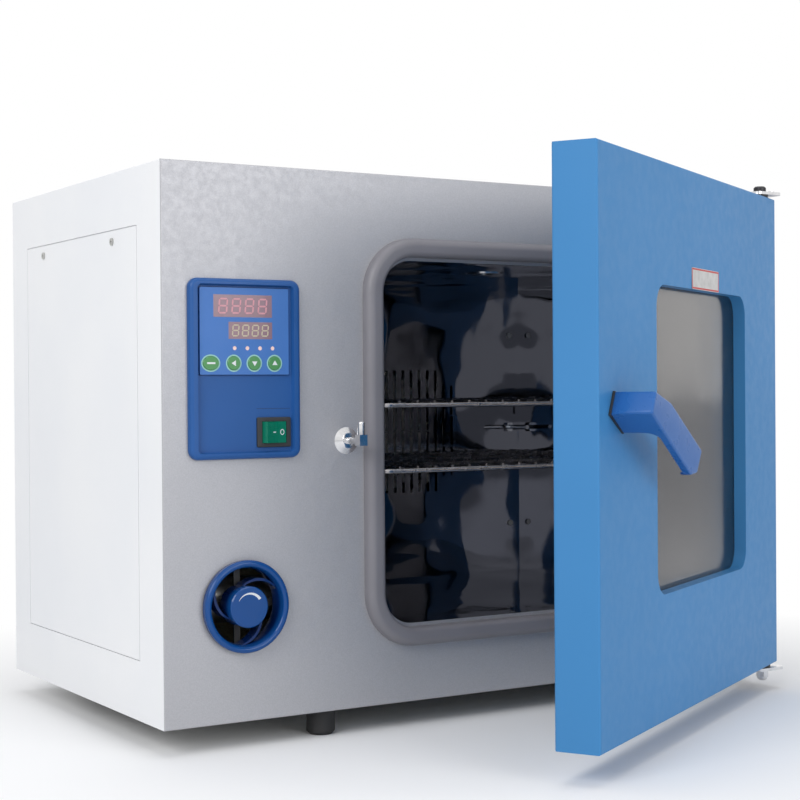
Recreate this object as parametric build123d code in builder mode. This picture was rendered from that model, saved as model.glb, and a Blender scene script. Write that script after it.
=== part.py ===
from build123d import *
from math import cos, radians, sin
import os

# Forced-air drying oven of about 45 litres, standing with its door 30 degrees open.
# Millimetres. X runs to the right as seen from the front, Y to the back and Z up.
# Z = 0 is the surface that it stands on, X = 0 the middle of the cabinet, and Y = 0 the middle of
# the footprint, from the handle of the open door to the motor cover.

# Cabinet
body_w = 690
body_d = 394
body_h = 500
sheet = 1.5
flange = 12
top_edge_r = 1.2
foot_h = 24
foot_r = 13.5
foot_edge_r = 3
foot_from_side = 167
foot_from_front = 21.5
foot_from_back = 42

# Chamber: what is left inside the cabinet beside the bay, the walls and the plenum behind the baffle
bay_w = 224
wall_right = 74
wall_top = 80.5
wall_back = 44
chamber_low = 74.5
plenum_d = 24
liner_t = 1.0
liner_flange = 14
mouth_r = 32
wool_left_t = 46

# Slotted baffle
slot_w = 4
slot_h = 34.5
slot_pitch = 11.4
slot_bridge_h = 2
slot_columns = 14
slot_rows = 4
side_columns = 2
baffle_screw_in = 14

# Door gasket
gasket_w = 18
gasket_outside_mouth = 3
gasket_clear = 0.3

# Door, seen closed: u runs from its hinge edge and z from the cabinet's bottom
rest_angle = 30
door_lap = 47
door_t = 40
door_inset_z = 3
door_inset_x = 1
door_gap = 12
skin_t = 1.2
panel_t = 1.0
door_edge_r = 2
pin_from_edge = 22
pin_from_face = 10
window_from_hinge = 112
window_from_free = 137
window_from_bottom = 112
window_from_top = 109
window_r = 20
reveal_d = 12
inner_reveal_d = 10
glass_t = 4
glass_lap = 8
seal_w = 7
plate_label_w = 80
plate_label_h = 20
plate_label_t = 0.8
plate_label_x = 3.5

# Handle, in its own lengths: along the lever, across it and out from the door
handle_from_striker = 33.5
handle_above_striker = 29
lever_droop = 28
lever_out = 38
neck_back = 16
neck_low = 12
neck_l = 32
neck_w = 20
arm_w = 29
arm_l = 125
arm_t = 7
arm_wall = 2.2
lever_edge_r = 2
seal_t = 2
shaft_r = 5
cam_t = 3
cam_l = 37.5
cam_w = 9
running = 0.05

# Striker
striker_from_edge = 7.5
striker_z = 250
striker_out = 30
striker_r = 3.5
hook_h = 18

# Hinges
plate_t = 3
plate_l = 52
plate_w = 36
pin_r = 4
bush_r = 7
bush_l = 16
pin_head_r = 6.5
pin_head_h = 6
nut_r = 6.5
nut_h = 7

# Control panel, x and z from the cabinet's left side and bottom
bezel_x = 79
bezel_z = 316.5
bezel_w = 110
bezel_h = 161
bezel_rise = 7
bezel_rim_x = 8.5
bezel_rim_z = 6.5
bezel_floor = 3
bezel_r = 9
display_x = 78
display_z = 350.1
display_w = 88
display_h = 77.4
display_gap = 0.8
display_depth = 34
display_box_in = 1
display_wall = 1.2
panel_clear = 0.3
face_t = 3
upper_lens = (76.3, 372.6, 58, 20)
lower_lens = (83.7, 350.8, 43.4, 15.2)
lens_t = 1.2
lamp_z = 335
lamp_x = 67.9
lamp_pitch = 12.6
lamp_r = 1.8
button_z = 321.6
set_button_x = 44.4
arrow_button_x = 66.9
arrow_pitch = 20.3
button_r = 6.2
set_button_w = 15.4
button_proud = 1.0
button_travel = 1.0
button_play = 0.2
rocker_x = 107
rocker_z = 259.5
rocker_frame_w = 34
rocker_frame_h = 27
rocker_r = 12.1
rocker_h = 19.2
rocker_tilt = 10
rocker_slope = 4

# Vent knob and its air flap
knob_x = 78
knob_z = 104
knob_r = 41.5
knob_rise = 9
knob_rim_w = 6
knob_well = 12
hub_r = 18.5
cup_r = 38.5
cup_d = 17
vane_t = 1.8
vanes = 3
duct_r = 21
duct_wall = 1.2
duct_from_front = 52
spindle_r = 3
flap_t = 1.5

# Shelves, z from the cabinet's bottom
upper_shelf_z = 282
lower_shelf_z = 219
frame_wire_r = 2.5
bar_wire_r = 2
bar_lift = 0.3
cross_wire_r = 1.3
wire_sink = 0.6
wire_pitch = 20
shelf_play = 3
shelf_front = 12
shelf_back_gap = 18
shelf_corner_r = 12
rail_w = 14
rail_t = 1.5
rail_clear = 0.1

# Fan, heater and sensor
fan_r = 72
fan_blades = 10
blade_h = 12
fan_plate_t = 1.2
fan_shaft_r = 4
motor_r = 36
motor_l = 40
bracket_w = 96
standoff_l = 8
heater_r = 88
heater_rod_r = 4
heater_leg_x = 14
heater_leg_r = 5
sensor_r = 2.5
sensor_from_wall = 16
sensor_z = 250
sensor_l = 40

# Rear and top
cover_w = 220
cover_h = 240
cover_d = 60
cover_r = 8
cover_slot_l = 62
cover_slot_w = 4
cover_slot_x = 80
cover_slot_pitch = 14
vent_slot_l = 110
vent_slot_w = 4
vent_slot_pitch = 12
vents_from_top = 110
pan_slot_l = 90
pan_slot_w = 5
pan_slot_pitch = 14
bay_slot_in = 14
port_r = 12
port_wall = 1.2
port_rise = 14
port_from_front = 115
inlet_x = 56
inlet_z = 60
inlet_w = 28
inlet_h = 22
fuse_x = 104
fuse_r = 6

# Service cover on the left side, by its distances from the cabinet's edges
service_from_front = 55
service_from_back = 47
service_from_bottom = 55
service_from_top = 54
service_screw_down = 10
service_screw_front = 57
service_screw_back = 50
service_gap = 1.0
service_lip = 9
screw_head_r = 3.5
screw_head_h = 1.6
screw_r = 2
screw_l = 6

# Places worked out from the sizes above
left = -body_w / 2
right = body_w / 2
bottom = foot_h
top = bottom + body_h
middle_z = bottom + body_h / 2
swing = radians(rest_angle)
door_w = body_w - door_inset_x - bay_w + door_lap
striker_x = bay_w - door_lap + striker_from_edge
handle_u = door_w - striker_from_edge - handle_from_striker
handle_z = striker_z + handle_above_striker
pin_behind = door_gap + door_t - pin_from_face
neck_reach = neck_back * cos(radians(lever_droop)) + neck_low * sin(radians(lever_droop))
door_reach = (pin_behind + (handle_u + neck_reach - pin_from_edge) * sin(swing)
              + (pin_from_face + lever_out) * cos(swing))
front = (door_reach - body_d - cover_d) / 2
back = front + body_d
chamber_w = body_w - bay_w - wall_right
chamber_h = body_h - chamber_low - wall_top
chamber_d = body_d - plenum_d - wall_back
chamber_left = left + bay_w
chamber_right = chamber_left + chamber_w
chamber_bottom = bottom + chamber_low
chamber_top = chamber_bottom + chamber_h
chamber_x = (chamber_left + chamber_right) / 2
chamber_z = (chamber_bottom + chamber_top) / 2
baffle_y = front + chamber_d
liner_back = baffle_y + plenum_d
hinge_x = right - door_inset_x - pin_from_edge
hinge_y = front - pin_behind
door_face_y = hinge_y - pin_from_face
door_back_y = door_face_y + door_t
door_bottom = bottom + door_inset_z
door_top = top - door_inset_z
door_h = door_top - door_bottom
door_hinge_edge = right - door_inset_x
door_free_edge = door_hinge_edge - door_w
door_x = (door_hinge_edge + door_free_edge) / 2
door_z = (door_bottom + door_top) / 2
window_w = door_w - window_from_hinge - window_from_free
window_h = door_h - window_from_bottom - window_from_top
window_u = window_from_hinge + window_w / 2
window_top = door_top - window_from_top
shelf_l = chamber_d - shelf_front - shelf_back_gap
sensor_at = (chamber_right - sensor_from_wall, bottom + sensor_z)
service_w = body_d - service_from_front - service_from_back
service_h = body_h - service_from_bottom - service_from_top
service_at = (front + service_from_front + service_w / 2, bottom + service_from_bottom + service_h / 2)
box_w = display_w - 2 * display_box_in
box_h = display_h - 2 * display_box_in
switch_w = rocker_frame_w - 5
switch_h = rocker_frame_h - 4
hinge_axis = Axis((hinge_x, hinge_y, 0), (0, 0, 1))


def facing(y):
    """A plane at y that looks to the front: sketches hold x and z, and extrudes come forwards."""
    return Plane.XZ.offset(-y)


def slab(x, y, z, mode=Mode.ADD):
    """A box between two values of x, of y and of z."""
    with Locations(((x[0] + x[1]) / 2, (y[0] + y[1]) / 2, (z[0] + z[1]) / 2)):
        Box(x[1] - x[0], y[1] - y[0], z[1] - z[0], mode=mode)


def rod(start, end, radius, mode=Mode.ADD):
    """A round bar, or with Mode.SUBTRACT a round hole, from one point to another."""
    way = Vector(*end) - Vector(*start)
    with Locations(Plane(origin=start, z_dir=way)):
        Cylinder(radius, way.length, align=(Align.CENTER, Align.CENTER, Align.MIN), mode=mode)


def pan_screw(spot):
    """A pan-head screw seated at the origin of a plane that looks outwards."""
    with Locations(spot):
        Cylinder(screw_head_r, screw_head_h, align=(Align.CENTER, Align.CENTER, Align.MIN))
        Cylinder(screw_r, screw_l, align=(Align.CENTER, Align.CENTER, Align.MAX))


def screw_hole(spot, depth):
    """The hole that a pan-head screw goes through."""
    with Locations(spot):
        Cylinder(screw_r, depth, align=(Align.CENTER, Align.CENTER, Align.MAX), mode=Mode.SUBTRACT)


port_at = (chamber_x, front + port_from_front)

# Planes where the screws of each cover sit
service_screw_z = top - service_from_top - service_screw_down
service_spots = [Plane(origin=(left, y, service_screw_z), z_dir=(-1, 0, 0), x_dir=(0, 1, 0))
                 for y in (front + service_from_front + service_screw_front,
                           back - service_from_back - service_screw_back)]
cover_spots = [Plane(origin=(chamber_x + x, back + skin_t, chamber_z + z), z_dir=(0, 1, 0))
               for x in (-cover_w / 2 - flange / 2, cover_w / 2 + flange / 2)
               for z in (-cover_h / 3, cover_h / 3)]
baffle_spots = [Plane(origin=(x, baffle_y, chamber_z + z), z_dir=(0, -1, 0))
                for x in (chamber_left + baffle_screw_in, chamber_right - baffle_screw_in)
                for z in (-chamber_h / 3, chamber_h / 3)]

# Casing: the left side, top and right side in one folded sheet
with BuildPart() as outer_casing:
    with BuildSketch(facing(back - sheet)):
        with Locations((0, middle_z)):
            Rectangle(body_w, body_h)
        with Locations((0, middle_z - sheet)):
            Rectangle(body_w - 2 * sheet, body_h, mode=Mode.SUBTRACT)
    extrude(amount=body_d - 2 * sheet)
    fillet(outer_casing.edges().filter_by(Axis.Y).group_by(Axis.Z)[-1], top_edge_r)
    with BuildSketch(Plane.YZ.offset(left + sheet)):
        with Locations(service_at):
            Rectangle(service_w + 2 * service_gap, service_h + 2 * service_gap)
    extrude(amount=-sheet, mode=Mode.SUBTRACT)
    with BuildSketch(Plane.YZ.offset(left + sheet)):
        with Locations(service_at):
            Rectangle(service_w + 2 * service_lip, service_h + 2 * service_lip)
            Rectangle(service_w - 2 * service_lip, service_h - 2 * service_lip, mode=Mode.SUBTRACT)
    extrude(amount=sheet)
    for spot in service_spots:
        screw_hole(spot, screw_l)
    rod((*port_at, top - 2 * sheet), (*port_at, top + sheet), port_r + port_wall, Mode.SUBTRACT)

# Service cover, flush in the left side
with BuildPart() as service_cover:
    with BuildSketch(Plane.YZ.offset(left)):
        with Locations(service_at):
            Rectangle(service_w, service_h)
    extrude(amount=sheet)
    for spot in service_spots:
        screw_hole(spot, sheet)

# The pan-head screws of the service cover, the baffle and the motor cover
with BuildPart() as pan_screws:
    for spot in service_spots + baffle_spots + cover_spots:
        pan_screw(spot)

# Front panel with its return flange, the chamber mouth and the holes for what it carries
with BuildPart() as front_panel:
    with BuildSketch(facing(front + sheet)):
        with Locations((0, middle_z)):
            Rectangle(body_w, body_h)
    extrude(amount=sheet)
    fillet(front_panel.faces().sort_by(Axis.Y)[0].edges(), top_edge_r)
    with BuildSketch(facing(front + sheet + flange)):
        with Locations((0, middle_z)):
            Rectangle(body_w - 2 * sheet, body_h - 2 * sheet)
            Rectangle(body_w - 4 * sheet, body_h - 4 * sheet, mode=Mode.SUBTRACT)
    extrude(amount=flange)
    with BuildSketch(facing(front + sheet)):
        with Locations((chamber_x, chamber_z)):
            RectangleRounded(chamber_w, chamber_h, mouth_r)
        with Locations((left + display_x, bottom + display_z)):
            Rectangle(box_w + 2 * panel_clear, box_h + 2 * panel_clear)
        with Locations((left + rocker_x, bottom + rocker_z)):
            Rectangle(switch_w + 2 * panel_clear, switch_h + 2 * panel_clear)
        with Locations((left + knob_x, bottom + knob_z)):
            Circle(cup_r)
        with Locations((left + striker_x, bottom + striker_z)):
            Circle(striker_r)
    extrude(amount=sheet, mode=Mode.SUBTRACT)

# Rear panel: a flat sheet with a return flange, vents for the bay and the holes of what it carries
with BuildPart() as rear_panel:
    with BuildSketch(facing(back)):
        with Locations((0, middle_z)):
            Rectangle(body_w, body_h)
    extrude(amount=sheet)
    with BuildSketch(facing(back - sheet)):
        with Locations((0, middle_z)):
            Rectangle(body_w - 2 * sheet, body_h - 2 * sheet)
            Rectangle(body_w - 4 * sheet, body_h - 4 * sheet, mode=Mode.SUBTRACT)
    extrude(amount=flange)
    with BuildSketch(facing(back)):
        with Locations((chamber_x, chamber_z)):
            Circle(fan_shaft_r * 2.5)
        with Locations((left + bay_w / 2 - bay_slot_in, top - vents_from_top)):
            with GridLocations(0, vent_slot_pitch, 1, 6):
                SlotOverall(vent_slot_l, vent_slot_w)
        for side in (-1, 1):
            with Locations((chamber_x + side * heater_leg_x, chamber_z - heater_r)):
                Circle(heater_leg_r)
        with Locations((left + inlet_x, bottom + inlet_z)):
            Rectangle(inlet_w, inlet_h)
        with Locations((left + fuse_x, bottom + inlet_z)):
            Circle(fuse_r)
    extrude(amount=sheet, mode=Mode.SUBTRACT)
    for spot in cover_spots:
        screw_hole(spot, screw_l)

# Base pan with air slots under the bay
with BuildPart() as base_pan:
    slab((left + sheet, right - sheet), (front + sheet, back - sheet), (bottom, bottom + sheet))
    with BuildSketch(Plane.XY.offset(bottom)):
        with Locations((left + bay_w / 2 - bay_slot_in, front + body_d / 2)):
            with GridLocations(0, pan_slot_pitch, 1, 8):
                SlotOverall(pan_slot_l, pan_slot_w)
    extrude(amount=sheet, mode=Mode.SUBTRACT)

# Four rubber feet
foot_spots = [(x, y) for x in (left + foot_from_side, right - foot_from_side)
              for y in (front + foot_from_front, back - foot_from_back)]
with BuildPart() as rubber_feet:
    for x, y in foot_spots:
        rod((x, y, 0), (x, y, foot_h), foot_r)
    chamfer(rubber_feet.edges().filter_by(GeomType.CIRCLE).group_by(Axis.Z)[0], foot_edge_r)

# Chamber liner: five welded panels, four of them with a flange turned out behind the front panel
liner_front = front + sheet
liner_flange_y = (liner_front, liner_front + liner_t)
liner_y = (liner_front, liner_back + liner_t)
outer_x = (chamber_left - liner_t, chamber_right + liner_t)
flange_x = (chamber_left - liner_flange, chamber_right + liner_flange)
with BuildPart() as liner_floor:
    slab(outer_x, liner_y, (chamber_bottom - liner_t, chamber_bottom))
    slab(flange_x, liner_flange_y, (chamber_bottom - liner_flange, chamber_bottom))

with BuildPart() as liner_ceiling:
    slab(outer_x, liner_y, (chamber_top, chamber_top + liner_t))
    slab(flange_x, liner_flange_y, (chamber_top, chamber_top + liner_flange))
    rod((*port_at, chamber_top), (*port_at, chamber_top + liner_t), port_r + port_wall, Mode.SUBTRACT)

with BuildPart() as liner_left:
    slab((chamber_left - liner_t, chamber_left), liner_y, (chamber_bottom, chamber_top))
    slab((flange_x[0], chamber_left), liner_flange_y, (chamber_bottom, chamber_top))
    rod((chamber_left - liner_t, front + duct_from_front, bottom + knob_z),
        (chamber_left, front + duct_from_front, bottom + knob_z), duct_r - duct_wall, Mode.SUBTRACT)

with BuildPart() as liner_right:
    slab((chamber_right, chamber_right + liner_t), liner_y, (chamber_bottom, chamber_top))
    slab((chamber_right, flange_x[1]), liner_flange_y, (chamber_bottom, chamber_top))

with BuildPart() as liner_rear:
    slab((chamber_left, chamber_right), (liner_back, liner_back + liner_t), (chamber_bottom, chamber_top))
    rod((chamber_x, liner_back, chamber_z), (chamber_x, liner_back + liner_t, chamber_z),
        fan_shaft_r * 1.75, Mode.SUBTRACT)
    for side in (-1, 1):
        leg_x = chamber_x + side * heater_leg_x
        rod((leg_x, liner_back, chamber_z - heater_r), (leg_x, liner_back + liner_t, chamber_z - heater_r),
            heater_leg_r, Mode.SUBTRACT)

# Mineral wool round the liner, in slabs
wool_front = front + sheet + flange + 1
with BuildPart() as chamber_insulation:
    slab((chamber_left - wool_left_t, right - 2 * sheet), (wool_front, back - sheet - flange - 1),
         (chamber_top + liner_t, top - 2 * sheet))
    rod((*port_at, chamber_top), (*port_at, top), port_r + port_wall, Mode.SUBTRACT)
    slab((chamber_left - wool_left_t, right - 2 * sheet), (wool_front, back - sheet - flange - 1),
         (bottom + 2 * sheet, chamber_bottom - liner_t))
    slab((chamber_right + liner_t, right - 2 * sheet), (wool_front, liner_back + liner_t),
         (chamber_bottom - liner_t, chamber_top + liner_t))
    slab((chamber_left - wool_left_t, chamber_left - liner_t), (wool_front, liner_back + liner_t),
         (chamber_bottom - liner_t, chamber_top + liner_t))
    rod((chamber_left - wool_left_t, front + duct_from_front, bottom + knob_z),
        (chamber_left - liner_t, front + duct_from_front, bottom + knob_z), duct_r, Mode.SUBTRACT)
    slab((chamber_left - wool_left_t, right - 2 * sheet), (liner_back + liner_t, back - sheet - flange - 1),
         (chamber_bottom - liner_t, chamber_top + liner_t))
    rod((chamber_x, liner_back, chamber_z), (chamber_x, back, chamber_z), fan_shaft_r * 2, Mode.SUBTRACT)
    for side in (-1, 1):
        leg_x = chamber_x + side * heater_leg_x
        rod((leg_x, liner_back, chamber_z - heater_r), (leg_x, back, chamber_z - heater_r),
            heater_leg_r, Mode.SUBTRACT)

# Back baffle: a folded sheet with rows of upright slots, which stands off the liner on its flanges
with BuildPart() as back_baffle:
    slab((chamber_left, chamber_right), (baffle_y, liner_back), (chamber_bottom, chamber_top))
    slab((chamber_left + liner_t, chamber_right - liner_t), (baffle_y + liner_t, liner_back),
         (chamber_bottom + liner_t, chamber_top - liner_t), Mode.SUBTRACT)
    with BuildSketch(facing(baffle_y + liner_t)):
        with Locations((chamber_x, chamber_z)):
            with GridLocations(slot_pitch, slot_h + slot_bridge_h, slot_columns, slot_rows):
                Rectangle(slot_w, slot_h)
        for side in (-1, 1):
            side_x = chamber_x + side * (slot_columns + side_columns) / 2 * slot_pitch
            with Locations((side_x, chamber_z)):
                with GridLocations(slot_pitch, slot_h + slot_bridge_h, side_columns, slot_rows - 1):
                    Rectangle(slot_w, slot_h)
        with Locations(sensor_at):
            Circle(sensor_r)
    extrude(amount=liner_t, mode=Mode.SUBTRACT)
    for spot in baffle_spots:
        screw_hole(spot, liner_t)

# Door gasket: a soft ring with a rounded face, on the front panel round the mouth
gasket_h = door_gap - gasket_clear
with BuildPart() as door_gasket:
    with BuildSketch(facing(front)):
        with Locations((chamber_x, chamber_z)):
            outer_grow = 2 * (gasket_outside_mouth + gasket_w)
            RectangleRounded(chamber_w + outer_grow, chamber_h + outer_grow, mouth_r + outer_grow / 2)
            inner_grow = 2 * gasket_outside_mouth
            RectangleRounded(chamber_w + inner_grow, chamber_h + inner_grow, mouth_r + inner_grow / 2,
                             mode=Mode.SUBTRACT)
    extrude(amount=gasket_h)
    fillet(door_gasket.faces().sort_by(Axis.Y)[0].outer_wire().edges(), gasket_w * 0.45)
    fillet(door_gasket.faces().sort_by(Axis.Y)[0].inner_wires()[0].edges(), gasket_w * 0.28)

# Shelf rails: two angles on each side wall
shelf_heights = (bottom + upper_shelf_z, bottom + lower_shelf_z)
rail_y = (front + 20, baffle_y - 10)
with BuildPart() as shelf_rails:
    for z in shelf_heights:
        ledge = z - frame_wire_r - rail_clear
        for wall, inward in ((chamber_left, 1), (chamber_right, -1)):
            slab(sorted((wall, wall + inward * rail_w)), rail_y, (ledge - rail_t, ledge))
            slab(sorted((wall, wall + inward * rail_t)), rail_y, (ledge - rail_w, ledge))


def wire_shelf(z):
    """A wire shelf: a bent frame, two cross bars in it, and eight-sided thin wires on top of both."""
    half_w = chamber_w / 2 - shelf_play - frame_wire_r
    near = front + shelf_front
    far = near + shelf_l
    with BuildSketch(Plane.XY.offset(z)) as outline:
        with Locations((chamber_x, near + shelf_l / 2)):
            RectangleRounded(2 * half_w, shelf_l, shelf_corner_r)
    path = outline.sketch.face().outer_wire()
    with BuildPart() as shelf:
        with BuildSketch(Plane(origin=path @ 0, z_dir=path % 0)):
            Circle(frame_wire_r)
        sweep(path=path)
        for share in (1 / 3, 2 / 3):
            y = near + share * shelf_l
            rod((chamber_x - half_w, y, z + bar_lift), (chamber_x + half_w, y, z + bar_lift), bar_wire_r)
        count = int(2 * half_w / wire_pitch) - 1
        with BuildSketch(facing(far + 1)):
            with Locations((chamber_x, z + frame_wire_r + cross_wire_r - wire_sink)):
                with GridLocations(wire_pitch, 0, count, 1):
                    RegularPolygon(cross_wire_r, 8, rotation=22.5)
        extrude(amount=shelf_l + 2)
    return shelf


shelf_upper = wire_shelf(shelf_heights[0])
shelf_lower = wire_shelf(shelf_heights[1])

# Fan wheel: a back plate, a hub and curved blades that lean back
fan_front = liner_back - 20
fan_plate_y = fan_front + blade_h
with BuildPart() as fan_wheel:
    rod((chamber_x, fan_plate_y, chamber_z), (chamber_x, fan_plate_y + fan_plate_t, chamber_z), fan_r)
    rod((chamber_x, fan_front, chamber_z), (chamber_x, fan_plate_y + fan_plate_t, chamber_z), fan_shaft_r + 6)
    with BuildSketch(facing(fan_plate_y)):
        with Locations((chamber_x, chamber_z)):
            with PolarLocations(fan_r * 0.72, fan_blades):
                Rectangle(fan_r * 0.5, 1.4, rotation=35)
    extrude(amount=blade_h)
    rod((chamber_x, fan_front, chamber_z), (chamber_x, fan_plate_y + fan_plate_t, chamber_z),
        fan_shaft_r, Mode.SUBTRACT)

# Motor behind the rear panel, on a plate with four standoffs; its shaft runs into the plenum
motor_y = back + standoff_l + sheet
with BuildPart() as fan_shaft:
    rod((chamber_x, fan_front, chamber_z), (chamber_x, motor_y + motor_l - 6, chamber_z), fan_shaft_r)

with BuildPart() as fan_motor:
    rod((chamber_x, motor_y, chamber_z), (chamber_x, motor_y + motor_l, chamber_z), motor_r)
    chamfer(fan_motor.edges().filter_by(GeomType.CIRCLE), 3)
    slab((chamber_x - motor_r - 5, chamber_x + motor_r + 5), (motor_y + 8, motor_y + motor_l - 8),
         (chamber_z - motor_r * 0.6, chamber_z + motor_r * 0.6))
    rod((chamber_x, motor_y, chamber_z), (chamber_x, motor_y + motor_l - 5, chamber_z),
        fan_shaft_r + running, Mode.SUBTRACT)

with BuildPart() as motor_bracket:
    slab((chamber_x - bracket_w / 2, chamber_x + bracket_w / 2), (motor_y - sheet, motor_y),
         (chamber_z - bracket_w / 2, chamber_z + bracket_w / 2))
    for x in (-bracket_w / 2 + 8, bracket_w / 2 - 8):
        for z in (-bracket_w / 2 + 8, bracket_w / 2 - 8):
            rod((chamber_x + x, back, chamber_z + z), (chamber_x + x, motor_y - sheet, chamber_z + z), 4)
    rod((chamber_x, motor_y - sheet, chamber_z), (chamber_x, motor_y, chamber_z), fan_shaft_r * 2,
        Mode.SUBTRACT)

# Heater: a rod bent in a ring round the fan, with two legs out through the back
heater_y = (baffle_y + liner_t + liner_back) / 2
with BuildPart() as heating_element:
    with BuildSketch(Plane(origin=(chamber_x + heater_leg_x, heater_y, chamber_z - heater_r),
                           z_dir=(heater_r, 0, heater_leg_x))):
        Circle(heater_rod_r)
    revolve(axis=Axis((chamber_x, heater_y, chamber_z), (0, -1, 0)), revolution_arc=342)
    for side in (-1, 1):
        leg_x = chamber_x + side * heater_leg_x
        rod((leg_x, heater_y - heater_leg_r, chamber_z - heater_r), (leg_x, back + 18, chamber_z - heater_r),
            heater_leg_r)

# Temperature sensor through the baffle, with a hexagonal gland on it
with BuildPart() as temperature_sensor:
    rod((sensor_at[0], baffle_y - sensor_l, sensor_at[1]), (sensor_at[0], liner_back, sensor_at[1]), sensor_r)
    with BuildSketch(facing(baffle_y)):
        with Locations(sensor_at):
            RegularPolygon(6, 6)
    extrude(amount=4)

# Control panel frame: a moulded surround with a rounded rim and a sunk field
field_w = bezel_w - 2 * bezel_rim_x
field_h = bezel_h - 2 * bezel_rim_z
with BuildPart() as control_bezel:
    with BuildSketch(facing(front)):
        with Locations((left + bezel_x, bottom + bezel_z)):
            RectangleRounded(bezel_w, bezel_h, bezel_r)
    extrude(amount=bezel_rise)
    fillet(control_bezel.faces().sort_by(Axis.Y)[0].edges(), bezel_rise * 0.6)
    with BuildSketch(facing(front - bezel_floor)):
        with Locations((left + bezel_x, bottom + bezel_z)):
            RectangleRounded(field_w, field_h, bezel_r / 3)
    extrude(amount=bezel_rise, taper=-18, mode=Mode.SUBTRACT)
    with BuildSketch(facing(front)):
        with Locations((left + display_x, bottom + display_z)):
            Rectangle(box_w + 2 * panel_clear, box_h + 2 * panel_clear)
        with Locations((left + rocker_x, bottom + rocker_z)):
            Rectangle(switch_w + 2 * panel_clear, switch_h + 2 * panel_clear)
    extrude(amount=bezel_rise, mode=Mode.SUBTRACT)
    with BuildSketch(facing(front - bezel_floor + 1)):
        with Locations((left + display_x, bottom + display_z)):
            Rectangle(display_w + 2 * display_gap, display_h + 2 * display_gap)
    extrude(amount=bezel_rise, mode=Mode.SUBTRACT)

# Temperature display: a face plate on a box, with places for the lenses, lamps and buttons
face_back = front - bezel_floor + 1
face_y = face_back - face_t
arrow_spots = [(left + arrow_button_x + n * arrow_pitch, bottom + button_z) for n in range(3)]
set_spot = (left + set_button_x, bottom + button_z)
lamp_spots = [(left + lamp_x + n * lamp_pitch, bottom + lamp_z) for n in range(4)]
with BuildPart() as display_module:
    with BuildSketch(facing(face_back)):
        with Locations((left + display_x, bottom + display_z)):
            RectangleRounded(display_w, display_h, 1)
    extrude(amount=face_t)
    with BuildSketch(facing(face_back + display_depth)):
        with Locations((left + display_x, bottom + display_z)):
            Rectangle(box_w, box_h)
            Rectangle(box_w - 2 * display_wall, box_h - 2 * display_wall, mode=Mode.SUBTRACT)
    extrude(amount=display_depth)
    with BuildSketch(facing(face_y + lens_t)):
        for x, z, w, h in (upper_lens, lower_lens):
            with Locations((left + x, bottom + z)):
                Rectangle(w, h)
        with Locations(*lamp_spots):
            Circle(lamp_r)
    extrude(amount=lens_t, mode=Mode.SUBTRACT)
    with BuildSketch(facing(face_back)):
        with Locations(*arrow_spots):
            Circle(button_r + button_play)
        with Locations(set_spot):
            Ellipse(set_button_w / 2 + button_play, button_r + button_play)
    extrude(amount=face_t, mode=Mode.SUBTRACT)

# Clear windows let into the display's face
with BuildPart() as display_lenses:
    with BuildSketch(facing(face_y + lens_t)):
        for x, z, w, h in (upper_lens, lower_lens):
            with Locations((left + x, bottom + z)):
                Rectangle(w, h)
    extrude(amount=lens_t)

with BuildPart() as indicator_lamps:
    with BuildSketch(facing(face_y + lens_t)):
        with Locations(*lamp_spots):
            Circle(lamp_r)
    extrude(amount=lens_t)

# Circuit board in the display box, with a small key switch under each button
board_y = face_back + 9
board_t = 1.6
key_h = 4
with BuildPart() as control_board:
    with BuildSketch(facing(board_y + board_t)):
        with Locations((left + display_x, bottom + display_z)):
            Rectangle(box_w - 2 * display_wall, box_h - 2 * display_wall)
    extrude(amount=board_t)
    with BuildSketch(facing(board_y)):
        with Locations(*arrow_spots, set_spot):
            Rectangle(6, 6)
    extrude(amount=key_h)


def push_button(spot, half_w):
    """A round or oval key cap with a round foot that keeps it behind the face."""
    with BuildPart() as button:
        with BuildSketch(facing(face_back)):
            with Locations(spot):
                Ellipse(half_w, button_r) if half_w > button_r else Circle(button_r)
        extrude(amount=face_t + button_proud)
        with BuildSketch(facing(face_back + 2)):
            with Locations(spot):
                Circle(button_r + 0.8)
        extrude(amount=2 - button_play)
        with BuildSketch(facing(board_y - key_h - button_travel - button_play)):
            with Locations(spot):
                Circle(2)
        extrude(amount=board_y - key_h - button_travel - button_play - face_back)
        chamfer(button.faces().sort_by(Axis.Y)[0].edges(), 0.4)
    return button


button_set = push_button(set_spot, set_button_w / 2)
button_left, button_down, button_up = [push_button(spot, button_r) for spot in arrow_spots]

# Mains switch: a frame with a well, and a rocker on two short trunnions
switch_x = left + rocker_x
switch_z = bottom + rocker_z
switch_face = front - bezel_floor
pivot_y = switch_face + 1
switch_frame_rise = 2
trunnion_r = 1.5
with BuildPart() as rocker_frame:
    with BuildSketch(facing(switch_face)):
        with Locations((switch_x, switch_z)):
            RectangleRounded(rocker_frame_w, rocker_frame_h, 1.5)
    extrude(amount=switch_frame_rise)
    fillet(rocker_frame.faces().sort_by(Axis.Y)[0].edges(), 0.8)
    slab((switch_x - switch_w / 2, switch_x + switch_w / 2), (switch_face, switch_face + 22),
         (switch_z - switch_h / 2, switch_z + switch_h / 2))
    slab((switch_x - rocker_r - 0.2, switch_x + rocker_r + 0.2),
         (switch_face - switch_frame_rise, pivot_y + rocker_r + 1),
         (switch_z - rocker_h / 2 - 0.2, switch_z + rocker_h / 2 + 0.2), Mode.SUBTRACT)
    for side in (-1, 1):
        rod((switch_x, pivot_y, switch_z), (switch_x, pivot_y, switch_z + side * (rocker_h / 2 + 1.4)),
            trunnion_r + running, Mode.SUBTRACT)

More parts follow.
